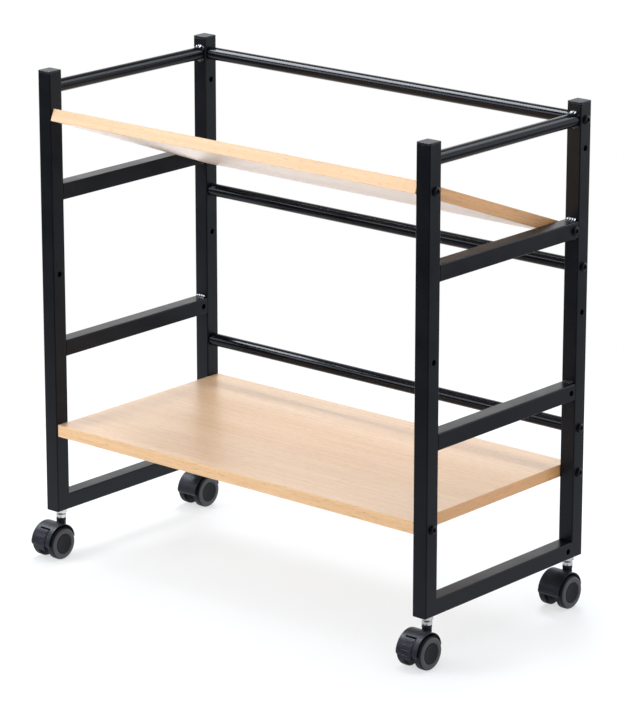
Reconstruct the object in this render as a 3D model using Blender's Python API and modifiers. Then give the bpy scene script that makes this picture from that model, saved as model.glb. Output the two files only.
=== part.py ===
"""Rolling shelf cart: two welded side frames, round bars, two boards and four twin-wheel casters.

X runs along the cart, Y from front to back and Z up from the floor, in metres. The origin is on the
floor, in the middle of the cart's outline with its casters pointing forward.
"""

import math

import bmesh
import bpy
from mathutils import Matrix, Vector

# Side frames
CART_WIDTH = 0.600
CART_DEPTH = 0.295
FRAME_HEIGHT = 0.552
TUBE_SIDE = 0.020
TUBE_WALL = 0.0012
TUBE_CORNER = 0.0015
CAP_FLANGE = 0.003
CAP_EDGE = 0.0008
CAP_PLUG = 0.010
CAP_WALL = 0.0015

# Levels: each has a rail, a shelf hole in every post and a rail hole near the rear for a tilted shelf
LEVELS = ("bottom", "middle", "top")
FIRST_HOLE_HEIGHT = 0.105
TOP_HOLE_DROP = 0.055
SCREW_HOLE = 0.007
LOWER_SHELF_LEVEL = "bottom"
TILTED_SHELF_LEVEL = "top"

# Round bars
BAR_DIAMETER = 0.016
BAR_WALL = 0.0012
BAR_PLUG = 0.014
BAR_ABOVE_HOLE = 0.055
TOP_BAR_DROP = 0.0215

# Shelves and screws
BOARD_THICKNESS = 0.015
BOARD_SETBACK = 0.0015
BOARD_EDGE = 0.0005
SCREW_SHANK = 0.006
SCREW_HEAD = 0.0108
SCREW_HEAD_HEIGHT = 0.003
SCREW_DOME = ((0.62, 1.0), (0.9, 0.62), (1.0, 0.2))  # shares of the head's radius and height
SCREW_SOCKET = 0.004
SCREW_SOCKET_DEPTH = 0.0018
SCREW_TIP = 0.001
BOARD_SCREW_BITE = 0.022
BAR_SCREW_BITE = 0.011

# Casters, from the wheel up to the frame
WHEEL_DIAMETER = 0.040
WHEEL_OUTER_FACE = 0.0185
WHEEL_TREAD = 0.0102
WHEEL_SHOULDER = 0.0045
WHEEL_SHOULDER_DROP = 0.0035
HUB_DIAMETER = 0.026
HUB_RECESS = 0.0006
BRAKE_RING = 0.033
WEB_THICKNESS = 0.008
AXLE_DIAMETER = 0.005
AXLE_BITE = 0.009
AXLE_BOSS = 0.014
AXLE_BOSS_INSET = math.radians(20)
HOOD_CLEARANCE = 0.0016
HOOD_WALL = 0.0024
HOOD_WIDTH = 0.0305
HOOD_EDGE = 0.0006
HOOD_RIM = 0.0012
HOOD_RIM_DEPTH = 0.004
HOOD_FRONT_ANGLE = math.radians(-3)
HOOD_REAR_ANGLE = math.radians(168)
WEB_FRONT_ANGLE = math.radians(66)
TRAIL = 0.014
STEM_INSET = 0.0145
NECK_DIAMETER = 0.012
NECK_RISE = 0.0032
JOURNAL_DIAMETER = 0.005
JOURNAL_DEPTH = 0.020
COLLAR_DIAMETER = 0.0125
COLLAR_HEIGHT = 0.005
STEM_THREAD = 0.008
STEM_SHOWN = 0.0012
NUT_WIDTH = 0.013
NUT_HEIGHT = 0.005
WELD_NUT_DIAMETER = 0.0136
WELD_NUT_HEIGHT = 0.007

# Brake lever in the hoods of the two front casters
LEVER_WIDTH = 0.0155
LEVER_FOOT_ANGLE = math.radians(-12)
LEVER_TOP_ANGLE = math.radians(52)
LEVER_PROUD = 0.0007
LEVER_BARREL = 0.0028
LEVER_PIN = 0.0014
LEVER_PIN_BITE = 0.0014
LEVER_RIBS = 4
LEVER_RIB_HEIGHT = 0.0005
LEVER_RIB_FLANK = 0.1  # share of a rib's width that each sloping flank takes

# Clearances
SEAT_GAP = 0.0003
RUNNING_GAP = 0.0003
WHEEL_GAP = 0.0006
LEVER_GAP = 0.0006
NOTCH_GAP = 0.0009

# Facets
HOLE_SIDES = 12
BAR_SIDES = 20
PIN_SIDES = 10
WHEEL_STEPS = 20
HOOD_STEPS = 30
ARC_STEPS = 8
BOSS_STEPS = 10
TUBE_CORNER_STEPS = 2
HOOD_EDGE_STEPS = 1
SHOULDER_STEPS = 2
MERGE_DISTANCE = 1e-6

# Worked out from the sizes above
WHEEL_RADIUS = WHEEL_DIAMETER / 2
HOOD_INNER = WHEEL_RADIUS + HOOD_CLEARANCE
HOOD_RADIUS = HOOD_INNER + HOOD_WALL
NECK_TOP = WHEEL_RADIUS + HOOD_RADIUS + NECK_RISE
COLLAR_BOTTOM = NECK_TOP + SEAT_GAP
NUT_BOTTOM = COLLAR_BOTTOM + COLLAR_HEIGHT + STEM_SHOWN
CASTER_HEIGHT = NUT_BOTTOM + NUT_HEIGHT + SEAT_GAP
LEVER_RADIUS = HOOD_RADIUS + LEVER_PROUD
CASTER_OVERHANG = TRAIL + LEVER_RADIUS + LEVER_RIB_HEIGHT - STEM_INSET
FRONT_Y = CASTER_OVERHANG - (CART_DEPTH + CASTER_OVERHANG) / 2
REAR_Y = FRONT_Y + CART_DEPTH
POST_X = (CART_WIDTH - TUBE_SIDE) / 2
POST_Y = {"front": FRONT_Y + TUBE_SIDE / 2, "rear": REAR_Y - TUBE_SIDE / 2}
STEM_Y = {"front": FRONT_Y + STEM_INSET, "rear": REAR_Y - STEM_INSET}
INWARD = {"front": 1, "rear": -1}
SIDES = {"left": -1, "right": 1}
FRAME_TOP = CASTER_HEIGHT + FRAME_HEIGHT
POST_TOP = FRAME_TOP - CAP_FLANGE - SEAT_GAP
LEVEL_PITCH = (FRAME_HEIGHT - TOP_HOLE_DROP - FIRST_HOLE_HEIGHT) / (len(LEVELS) - 1)
HOLE_Z = {level: CASTER_HEIGHT + FIRST_HOLE_HEIGHT + step * LEVEL_PITCH for step, level in enumerate(LEVELS)}
RAIL_Z = {level: CASTER_HEIGHT + TUBE_SIDE / 2 + step * LEVEL_PITCH for step, level in enumerate(LEVELS)}
TOP_BAR_Z = FRAME_TOP - TOP_BAR_DROP
BACK_BAR_Z = {
    "bottom": HOLE_Z["bottom"] + BAR_ABOVE_HOLE,
    "middle": HOLE_Z["middle"] + BAR_ABOVE_HOLE,
    "top": TOP_BAR_Z,
}
HOLE_SPAN = CART_DEPTH - TUBE_SIDE
TILT = math.asin((HOLE_Z[TILTED_SHELF_LEVEL] - RAIL_Z[TILTED_SHELF_LEVEL]) / HOLE_SPAN)
RAIL_HOLE_Y = POST_Y["front"] + HOLE_SPAN * math.cos(TILT)
BETWEEN_FRAMES = CART_WIDTH - 2 * TUBE_SIDE - 2 * SEAT_GAP

# Directions in which a shape drawn along Z is laid
ALONG = {
    "X": Matrix.Rotation(math.pi / 2, 4, "Y"),
    "Y": Matrix.Rotation(math.pi / 2, 4, "X"),
    "Z": Matrix.Identity(4),
}
# An outline drawn as (y, z) stands in the YZ plane, and its thickness runs along X
UPRIGHT = Matrix(((0, 0, 1, 0), (1, 0, 0, 0), (0, 1, 0, 0), (0, 0, 0, 1)))


def clear_scene():
    for obj in list(bpy.data.objects):
        bpy.data.objects.remove(obj)


def new_collection(name):
    group = bpy.data.collections.new(name)
    bpy.context.scene.collection.children.link(group)
    return group


def new_material(name, colour, roughness, metallic=0.0):
    made = bpy.data.materials.new(name)
    made.use_nodes = True
    shader = made.node_tree.nodes["Principled BSDF"]
    shader.inputs["Base Color"].default_value = (*colour, 1.0)
    shader.inputs["Roughness"].default_value = roughness
    shader.inputs["Metallic"].default_value = metallic
    return made


def helper(mesh):
    """A shape on its way to becoming a piece. It isn't rendered."""
    obj = bpy.data.objects.new(mesh.name, mesh)
    obj.hide_render = True
    obj.display_type = "WIRE"
    helpers.objects.link(obj)
    return obj


def from_bmesh(name, bm):
    mesh = bpy.data.meshes.new(name)
    bm.to_mesh(mesh)
    bm.free()
    return helper(mesh)


def evaluated_mesh(obj):
    """The object's mesh with its modifiers and its place applied. The object is removed."""
    bpy.context.view_layer.update()
    graph = bpy.context.evaluated_depsgraph_get()
    mesh = bpy.data.meshes.new_from_object(obj.evaluated_get(graph))
    mesh.transform(obj.matrix_world)
    bpy.data.objects.remove(obj)
    return mesh


def box(size, centre):
    bm = bmesh.new()
    place = Matrix.Translation(centre) @ Matrix.Diagonal((*size, 1.0))
    bmesh.ops.create_cube(bm, size=1.0, matrix=place)
    return from_bmesh("box", bm)


def cylinder(diameter, length, centre, axis, sides=HOLE_SIDES):
    bm = bmesh.new()
    place = Matrix.Translation(centre) @ ALONG[axis]
    radius = diameter / 2
    bmesh.ops.create_cone(
        bm, cap_ends=True, segments=sides, radius1=radius, radius2=radius, depth=length, matrix=place
    )
    return from_bmesh("cylinder", bm)


def plate(loops, thickness, place):
    """A flat outline with any inner loops open, thickened evenly to both sides of its plane."""
    curve = bpy.data.curves.new("plate", "CURVE")
    curve.dimensions = "2D"
    curve.fill_mode = "BOTH"
    curve.extrude = thickness / 2
    for loop in loops:
        spline = curve.splines.new("POLY")
        spline.points.add(len(loop) - 1)
        for point, (u, v) in zip(spline.points, loop):
            point.co = (u, v, 0.0, 1.0)
        spline.use_cyclic_u = True
    outline = bpy.data.objects.new("plate", curve)
    helpers.objects.link(outline)
    outline.matrix_world = place
    mesh = evaluated_mesh(outline)
    bm = bmesh.new()
    bm.from_mesh(mesh)
    bmesh.ops.remove_doubles(bm, verts=bm.verts, dist=MERGE_DISTANCE)
    bmesh.ops.recalc_face_normals(bm, faces=bm.faces)
    bm.to_mesh(mesh)
    bm.free()
    return helper(mesh)


def turned(profile, steps, place, closed=False):
    """A profile of (radius, height) points, given from the top down its outer side, turned about its axis."""
    bm = bmesh.new()
    corners = [bm.verts.new((radius, 0.0, height)) for radius, height in profile]
    ends = corners[1:] + corners[:1] if closed else corners[1:]
    for start, end in zip(corners, ends):
        bm.edges.new((start, end))
    obj = from_bmesh("turned", bm)
    obj.matrix_world = place
    screw = obj.modifiers.new("turn", "SCREW")
    screw.axis = "Z"
    screw.steps = steps
    screw.render_steps = steps
    screw.use_merge_vertices = True
    screw.merge_threshold = MERGE_DISTANCE
    return obj


def shaped(base, joins=(), cuts=()):
    """The mesh of a shape after others are joined to it and then cut from it."""
    for other in joins:
        modifier = base.modifiers.new("join", "BOOLEAN")
        modifier.operation = "UNION"
        modifier.object = other
    for other in cuts:
        modifier = base.modifiers.new("cut", "BOOLEAN")
        modifier.operation = "DIFFERENCE"
        modifier.object = other
    mesh = evaluated_mesh(base)
    for other in (*joins, *cuts):
        bpy.data.objects.remove(other)
    return mesh


def piece(name, mesh, finish, location=(0, 0, 0), rotation=(0, 0, 0), parent=None):
    """A finished sub-part, in the cart's collection."""
    mesh.materials.clear()
    mesh.materials.append(finish)
    mesh.shade_smooth()
    mesh.set_sharp_from_angle(angle=math.radians(35))
    obj = bpy.data.objects.new(name, mesh)
    obj.location = location
    obj.rotation_euler = rotation
    obj.parent = parent
    cart.objects.link(obj)
    return obj


def rounded_square(side, corner, corner_steps):
    """Points round a square whose corners are arcs."""
    half = side / 2 - corner
    points = []
    for quarter in range(4):
        middle = math.pi / 4 + quarter * math.pi / 2
        centre = Vector((math.copysign(half, math.cos(middle)), math.copysign(half, math.sin(middle))))
        for step in range(corner_steps + 1):
            angle = (quarter + step / corner_steps) * math.pi / 2
            points.append(centre + corner * Vector((math.cos(angle), math.sin(angle))))
    return points


def arc(radius, start, end, steps):
    """Points on a circle, with the angle counted up from the front (-Y)."""
    angles = [start + (end - start) * step / steps for step in range(steps + 1)]
    return [Vector((-radius * math.cos(a), radius * math.sin(a))) for a in angles]


def square_tube(length, centre, axis):
    outer = rounded_square(TUBE_SIDE, TUBE_CORNER, TUBE_CORNER_STEPS)
    inner = rounded_square(TUBE_SIDE - 2 * TUBE_WALL, TUBE_CORNER - TUBE_WALL, 1)
    return plate([outer, inner], length, Matrix.Translation(centre) @ ALONG[axis])


def cross_hole(x, y, z):
    """A cutter along X through both walls of a tube."""
    return cylinder(SCREW_HOLE, 2 * TUBE_SIDE, (x, y, z), "X")


def mitre_cutter(x, end, keep_post):
    """A wedge that cuts a bottom corner of a side frame at 45 degrees, leaving the post or the rail."""
    outer_y = FRONT_Y if end == "front" else REAR_Y
    reach = 2 * TUBE_SIDE
    shift = SEAT_GAP if keep_post else 0.0
    low = (outer_y - INWARD[end] * reach, CASTER_HEIGHT - reach + shift)
    high = (outer_y + INWARD[end] * reach, CASTER_HEIGHT + reach + shift)
    corner = (high[0], low[1]) if keep_post else (low[0], high[1])
    return plate([[low, high, corner]], 2 * TUBE_SIDE, Matrix.Translation((x, 0, 0)) @ UPRIGHT)


def make_posts():
    """Uprights of the side frames: open tubes, cross-drilled for the shelves and the back bars."""
    height = POST_TOP - CASTER_HEIGHT
    for side, sign in SIDES.items():
        for end, y in POST_Y.items():
            x = sign * POST_X
            drilled = [*HOLE_Z.values(), *(BACK_BAR_Z.values() if end == "rear" else ())]
            tube = square_tube(height, (x, y, CASTER_HEIGHT + height / 2), "Z")
            holes = [cross_hole(x, y, z) for z in drilled]
            mesh = shaped(tube, cuts=[mitre_cutter(x, end, True), *holes])
            piece(f"{side}_{end}_post", mesh, powder_coat)


def make_bottom_rails():
    """Bottom members, mitred to the posts, with a weld nut inside over each caster stem."""
    floor = CASTER_HEIGHT + TUBE_WALL
    nut_length = WELD_NUT_HEIGHT + TUBE_WALL / 2
    nut_z = floor + WELD_NUT_HEIGHT - nut_length / 2
    bore = STEM_THREAD + 2 * SEAT_GAP
    for side, sign in SIDES.items():
        x = sign * POST_X
        tube = square_tube(CART_DEPTH, (x, (FRONT_Y + REAR_Y) / 2, RAIL_Z["bottom"]), "Y")
        mitres = [mitre_cutter(x, end, False) for end in INWARD]
        nuts = [cylinder(WELD_NUT_DIAMETER, nut_length, (x, y, nut_z), "Z") for y in STEM_Y.values()]
        bores = [cylinder(bore, 4 * WELD_NUT_HEIGHT, (x, y, floor), "Z") for y in STEM_Y.values()]
        cuts = [*mitres, *bores, cross_hole(x, RAIL_HOLE_Y, RAIL_Z["bottom"])]
        piece(f"{side}_bottom_rail", shaped(tube, joins=nuts, cuts=cuts), powder_coat)


def make_middle_rails():
    """Rails welded between the posts of a side frame, drilled near the rear for a tilted shelf."""
    length = CART_DEPTH - 2 * TUBE_SIDE - 2 * SEAT_GAP
    for side, sign in SIDES.items():
        for name, z in (("lower", RAIL_Z["middle"]), ("upper", RAIL_Z["top"])):
            x = sign * POST_X
            tube = square_tube(length, (x, (FRONT_Y + REAR_Y) / 2, z), "Y")
            mesh = shaped(tube, cuts=[cross_hole(x, RAIL_HOLE_Y, z)])
            piece(f"{side}_{name}_rail", mesh, powder_coat)


def make_top_bars():
    """Round tubes welded between the post tops of a side frame. They double as push handles."""
    length = CART_DEPTH - 2 * TUBE_SIDE - 2 * SEAT_GAP
    for side, sign in SIDES.items():
        centre = (sign * POST_X, (FRONT_Y + REAR_Y) / 2, TOP_BAR_Z)
        rod = cylinder(BAR_DIAMETER, length, centre, "Y", BAR_SIDES)
        bore = cylinder(BAR_DIAMETER - 2 * BAR_WALL, 2 * length, centre, "Y", BAR_SIDES)
        piece(f"{side}_top_bar", shaped(rod, cuts=[bore]), powder_coat)


def make_back_bars():
    """Round tubes across the back. Each end is plugged, and the plug is bored for the screw from the post."""
    hollow = BETWEEN_FRAMES - 2 * BAR_PLUG
    for name, z in BACK_BAR_Z.items():
        centre = (0, POST_Y["rear"], z)
        rod = cylinder(BAR_DIAMETER, BETWEEN_FRAMES, centre, "X", BAR_SIDES)
        bore = cylinder(SCREW_SHANK + 2 * SEAT_GAP, 2 * BETWEEN_FRAMES, centre, "X", PIN_SIDES)
        inside = cylinder(BAR_DIAMETER - 2 * BAR_WALL, hollow, centre, "X", BAR_SIDES)
        piece(f"{name}_back_bar", shaped(rod, cuts=[bore, inside]), powder_coat)


def make_caps():
    """Moulded caps pressed into the tops of the posts: a flange with softened edges over a hollow plug."""
    plug_side = TUBE_SIDE - 2 * TUBE_WALL - 2 * SEAT_GAP
    joint = CAP_FLANGE / 2
    plug_length = CAP_PLUG + joint
    hollow_side = plug_side - 2 * CAP_WALL
    outline = rounded_square(TUBE_SIDE, TUBE_CORNER, TUBE_CORNER_STEPS)
    flange = plate([outline], CAP_FLANGE, Matrix.Translation((0, 0, CAP_FLANGE / 2)))
    bm = bmesh.new()
    bm.from_mesh(flange.data)
    bmesh.ops.dissolve_limit(bm, angle_limit=math.radians(1), verts=bm.verts, edges=bm.edges)
    rim = [edge for edge in bm.edges if all(vert.co.z > CAP_FLANGE - CAP_EDGE for vert in edge.verts)]
    bmesh.ops.bevel(bm, geom=rim, offset=CAP_EDGE, segments=2, profile=0.5, affect="EDGES", material=-1)
    bm.to_mesh(flange.data)
    bm.free()
    plug_outline = rounded_square(plug_side, TUBE_CORNER - TUBE_WALL, 1)
    plug = plate([plug_outline], plug_length, Matrix.Translation((0, 0, joint - plug_length / 2)))
    hollow = box((hollow_side, hollow_side, 2 * CAP_PLUG), (0, 0, -CAP_PLUG))
    mesh = shaped(flange, joins=[plug], cuts=[hollow])
    for side, sign in SIDES.items():
        for end, y in POST_Y.items():
            piece(f"{side}_{end}_cap", mesh, moulded_black, (sign * POST_X, y, POST_TOP + SEAT_GAP))


def board_mesh():
    """A faced board with four pilot holes in its ends, centred on its own middle."""
    depth = CART_DEPTH - 2 * BOARD_SETBACK
    board = box((BETWEEN_FRAMES, depth, BOARD_THICKNESS), (0, 0, 0))
    bm = bmesh.new()
    bm.from_mesh(board.data)
    edges = bm.edges[:]
    bmesh.ops.bevel(bm, geom=edges, offset=BOARD_EDGE, segments=1, profile=0.5, affect="EDGES", material=-1)
    bm.to_mesh(board.data)
    bm.free()
    pilot = SCREW_SHANK + 2 * SEAT_GAP
    pilot_depth = BOARD_SCREW_BITE + SCREW_TIP
    cuts = []
    for sign in SIDES.values():
        for y in (-HOLE_SPAN / 2, HOLE_SPAN / 2):
            cuts.append(cylinder(pilot, 2 * pilot_depth, (sign * BETWEEN_FRAMES / 2, y, 0), "X", PIN_SIDES))
    return shaped(board, cuts=cuts)


def screw_mesh(bite):
    """A socket screw for a tube: its head's underside is at the origin and its head points along +Z."""
    head = SCREW_HEAD / 2
    shank = SCREW_SHANK / 2
    length = TUBE_SIDE + 2 * SEAT_GAP + bite
    profile = [
        (0.0, SCREW_HEAD_HEIGHT),
        *[(share * head, rise * SCREW_HEAD_HEIGHT) for share, rise in SCREW_DOME],
        (head, 0.0),
        (shank, 0.0),
        (shank, SCREW_TIP - length),
        (shank - SCREW_TIP, -length),
        (0.0, -length),
    ]
    socket_top = (0, 0, SCREW_HEAD_HEIGHT)
    socket = cylinder(SCREW_SOCKET, 2 * SCREW_SOCKET_DEPTH, socket_top, "Z", 6)
    return shaped(turned(profile, PIN_SIDES, Matrix.Identity(4)), cuts=[socket])


def make_shelves():
    """The two boards, each hung on four screws through the side frames."""
    board = board_mesh()
    screw = screw_mesh(BOARD_SCREW_BITE)
    low, high = HOLE_Z[LOWER_SHELF_LEVEL], HOLE_Z[TILTED_SHELF_LEVEL]
    tilted_rear = RAIL_Z[TILTED_SHELF_LEVEL]
    middle = (FRONT_Y + REAR_Y) / 2
    tilted_middle = (0, (POST_Y["front"] + RAIL_HOLE_Y) / 2, (high + tilted_rear) / 2)
    piece("lower_shelf", board, woodgrain, (0, middle, low))
    piece("tilted_shelf", board.copy(), woodgrain, tilted_middle, (-TILT, 0, 0))
    places = {
        "lower_shelf": {"front": (POST_Y["front"], low), "rear": (POST_Y["rear"], low)},
        "tilted_shelf": {"front": (POST_Y["front"], high), "rear": (RAIL_HOLE_Y, tilted_rear)},
    }
    for shelf, ends in places.items():
        for end, (y, z) in ends.items():
            for side, sign in SIDES.items():
                location = (sign * (CART_WIDTH / 2 + SEAT_GAP), y, z)
                turn = (0, sign * math.pi / 2, 0)
                piece(f"{shelf}_screw_{side}_{end}", screw, black_screw, location, turn)


def make_back_bar_screws():
    """The screws that hold the back bars, through the rear posts from outside."""
    screw = screw_mesh(BAR_SCREW_BITE)
    for name, z in BACK_BAR_Z.items():
        for side, sign in SIDES.items():
            location = (sign * (CART_WIDTH / 2 + SEAT_GAP), POST_Y["rear"], z)
            piece(f"{name}_back_bar_screw_{side}", screw, black_screw, location, (0, sign * math.pi / 2, 0))


def stem_mesh():
    """A zinc-plated stem: a journal for the hood, a collar, and a thread that carries the lock nut."""
    journal, collar, thread = JOURNAL_DIAMETER / 2, COLLAR_DIAMETER / 2, STEM_THREAD / 2
    top = CASTER_HEIGHT + TUBE_WALL + WELD_NUT_HEIGHT
    bottom = NECK_TOP - JOURNAL_DEPTH
    profile = [
        (0.0, top),
        (thread - SCREW_TIP, top),
        (thread, top - SCREW_TIP),
        (thread, COLLAR_BOTTOM + COLLAR_HEIGHT),
        (collar, COLLAR_BOTTOM + COLLAR_HEIGHT),
        (collar, COLLAR_BOTTOM),
        (journal, COLLAR_BOTTOM),
        (journal, bottom),
        (0.0, bottom),
    ]
    across_corners = NUT_WIDTH / math.cos(math.pi / 6)
    nut = cylinder(across_corners, NUT_HEIGHT, (0, 0, NUT_BOTTOM + NUT_HEIGHT / 2), "Z", 6)
    return shaped(turned(profile, PIN_SIDES, Matrix.Identity(4)), joins=[nut])


def at_axle():
    return Matrix.Translation((0, -TRAIL, WHEEL_RADIUS))


def lever_pivot():
    """The brake lever's pivot, as seen from the stem axis at floor level."""
    radius = WHEEL_RADIUS + LEVER_GAP + LEVER_BARREL / 2
    y, z = arc(radius, LEVER_TOP_ANGLE, LEVER_TOP_ANGLE, 1)[0]
    return Vector((0, y - TRAIL, z + WHEEL_RADIUS))


def hood_mesh(with_lever):
    """A moulded hood: a fender with thinned rims, a web for the axle and a neck for the stem."""
    edge, half = HOOD_EDGE, HOOD_WIDTH / 2
    corner = [math.pi / 2 * step / HOOD_EDGE_STEPS for step in range(HOOD_EDGE_STEPS + 1)]
    upper = [(HOOD_RADIUS - edge + edge * math.sin(a), half - edge + edge * math.cos(a)) for a in corner]
    rim = [(HOOD_INNER, half - HOOD_RIM_DEPTH), (HOOD_RADIUS - HOOD_RIM, half), *upper]
    ring = [*rim, *((radius, -height) for radius, height in reversed(rim))]
    fender = turned(ring, HOOD_STEPS, at_axle() @ ALONG["X"], closed=True)
    reach = 2 * HOOD_RADIUS
    missing = [(0.0, 0.0), *arc(reach, HOOD_REAR_ANGLE, 2 * math.pi + HOOD_FRONT_ANGLE, ARC_STEPS)]
    opening = plate([missing], 2 * HOOD_WIDTH, at_axle() @ UPRIGHT)
    sector = helper(shaped(fender, cuts=[opening]))

    buried = HOOD_INNER + HOOD_WALL / 2
    boss_start = HOOD_REAR_ANGLE + AXLE_BOSS_INSET
    boss_end = 2 * math.pi + WEB_FRONT_ANGLE - AXLE_BOSS_INSET
    boss = arc(AXLE_BOSS / 2, boss_start, boss_end, BOSS_STEPS)
    outline = [*arc(buried, WEB_FRONT_ANGLE, HOOD_REAR_ANGLE, ARC_STEPS), *boss]
    web = plate([outline], WEB_THICKNESS, at_axle() @ UPRIGHT)
    neck_middle = (0, 0, (NECK_TOP + WHEEL_RADIUS) / 2)
    neck_post = cylinder(NECK_DIAMETER, NECK_TOP - WHEEL_RADIUS, neck_middle, "Z", BAR_SIDES)
    under_fender = cylinder(2 * buried, HOOD_WIDTH, (0, -TRAIL, WHEEL_RADIUS), "X", HOOD_STEPS)
    neck = helper(shaped(neck_post, cuts=[under_fender]))
    axle_bore = cylinder(AXLE_DIAMETER + 2 * SEAT_GAP, HOOD_WIDTH, (0, -TRAIL, WHEEL_RADIUS), "X", PIN_SIDES)
    socket_depth = JOURNAL_DEPTH + SEAT_GAP
    socket = cylinder(JOURNAL_DIAMETER + 2 * RUNNING_GAP, 2 * socket_depth, (0, 0, NECK_TOP), "Z", PIN_SIDES)
    cuts = [axle_bore, socket]
    if with_lever:
        notch_width = LEVER_WIDTH + 2 * SEAT_GAP
        notch_top = LEVER_TOP_ANGLE + (LEVER_BARREL / 2 + NOTCH_GAP) / HOOD_INNER
        notch_arc = arc(reach, LEVER_FOOT_ANGLE, notch_top, ARC_STEPS)
        cuts.append(plate([[(0.0, 0.0), *notch_arc]], notch_width, at_axle() @ UPRIGHT))
        pin_seat = notch_width + 2 * LEVER_PIN_BITE
        cuts.append(cylinder(LEVER_PIN + 2 * RUNNING_GAP, pin_seat, lever_pivot(), "X", PIN_SIDES))
    return shaped(sector, joins=[web, neck], cuts=cuts)


def lever_mesh():
    """A curved brake lever with plain grip ribs and a barrel with two stub pins, drawn about its pivot."""
    pivot = lever_pivot()
    inner = HOOD_INNER + SEAT_GAP
    steps = 2 * LEVER_RIBS + 1
    band = (LEVER_TOP_ANGLE - LEVER_FOOT_ANGLE) / steps
    flank = LEVER_RIB_FLANK * band
    outer = []
    for step in range(steps):
        radius = LEVER_RADIUS + (LEVER_RIB_HEIGHT if step % 2 else 0.0)
        start = LEVER_FOOT_ANGLE + step * band
        outer += arc(radius, start + flank, start + band - flank, 1)
    outline = [*outer, *reversed(arc(inner, LEVER_FOOT_ANGLE, LEVER_TOP_ANGLE, ARC_STEPS))]
    place = Matrix.Translation(-pivot) @ at_axle() @ UPRIGHT
    shell = plate([outline], LEVER_WIDTH, place)
    barrel = cylinder(LEVER_BARREL, LEVER_WIDTH, (0, 0, 0), "X", PIN_SIDES)
    pins = cylinder(LEVER_PIN, LEVER_WIDTH + 2 * (LEVER_PIN_BITE - SEAT_GAP), (0, 0, 0), "X", PIN_SIDES)
    return shaped(shell, joins=[barrel, pins])


def wheel_mesh():
    """A wheel with a sunk hub disc, a brake ring inside and a blind bore. Its outer face points along +Z."""
    face = WHEEL_OUTER_FACE
    inner = WEB_THICKNESS / 2 + WHEEL_GAP
    hub, ring = HUB_DIAMETER / 2, BRAKE_RING / 2
    bore = AXLE_DIAMETER / 2 + RUNNING_GAP
    bore_end = WEB_THICKNESS / 2 + AXLE_BITE + RUNNING_GAP
    shoulder = []
    for step in range(SHOULDER_STEPS + 1):
        angle = math.pi / 2 * step / SHOULDER_STEPS
        radius = WHEEL_RADIUS - WHEEL_SHOULDER * (1 - math.sin(angle))
        shoulder.append((radius, face - WHEEL_SHOULDER_DROP * (1 - math.cos(angle))))
    profile = [
        (0.0, face - HUB_RECESS),
        (hub - HUB_RECESS, face - HUB_RECESS),
        (hub, face),
        *shoulder,
        (WHEEL_RADIUS, face - WHEEL_TREAD),
        (ring, face - WHEEL_TREAD),
        (ring, inner),
        (bore, inner),
        (bore, bore_end),
        (0.0, bore_end),
    ]
    return shaped(turned(profile, WHEEL_STEPS, Matrix.Identity(4)))


def make_casters():
    """Four twin-wheel casters, all trailing forward. The front two have brake levers."""
    stem, axle_length = stem_mesh(), WEB_THICKNESS + 2 * AXLE_BITE
    wheel, lever = wheel_mesh(), lever_mesh()
    hoods = {"front": hood_mesh(True), "rear": hood_mesh(False)}
    axle = shaped(cylinder(AXLE_DIAMETER, axle_length, (0, 0, 0), "X", PIN_SIDES))
    axle_place = Vector((0, -TRAIL, WHEEL_RADIUS))
    for side, sign in SIDES.items():
        for end, y in STEM_Y.items():
            name = f"{side}_{end}_caster"
            swivel = bpy.data.objects.new(f"{name}_swivel", None)
            swivel.location = (sign * POST_X, y, 0)
            cart.objects.link(swivel)
            piece(f"{name}_stem", stem, zinc_plate, parent=swivel)
            piece(f"{name}_hood", hoods[end], moulded_black, parent=swivel)
            piece(f"{name}_axle", axle, zinc_plate, axle_place, parent=swivel)
            for wheel_side, turn in SIDES.items():
                rotation = (0, turn * math.pi / 2, 0)
                piece(f"{name}_{wheel_side}_wheel", wheel, wheel_grey, axle_place, rotation, swivel)
            if end == "front":
                piece(f"{side}_brake_lever", lever, moulded_black, lever_pivot(), parent=swivel)


clear_scene()
cart = new_collection("rolling_shelf_cart")
helpers = new_collection("helpers")
powder_coat = new_material("matt_black_powder_coat", (0.016, 0.017, 0.020), 0.45)
moulded_black = new_material("black_moulded_plastic", (0.022, 0.022, 0.025), 0.5)
wheel_grey = new_material("dark_grey_wheel_plastic", (0.070, 0.070, 0.074), 0.55)
black_screw = new_material("black_oxide_steel", (0.012, 0.012, 0.013), 0.35, 0.6)
zinc_plate = new_material("zinc_plated_steel", (0.62, 0.63, 0.65), 0.3, 1.0)
woodgrain = new_material("light_woodgrain_board", (0.86, 0.68, 0.48), 0.45)
make_posts()
make_bottom_rails()
make_middle_rails()
make_top_bars()
make_back_bars()
make_caps()
make_shelves()
make_back_bar_screws()
make_casters()
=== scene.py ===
import math

import bmesh
import bpy
from mathutils import Matrix, Vector


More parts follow.
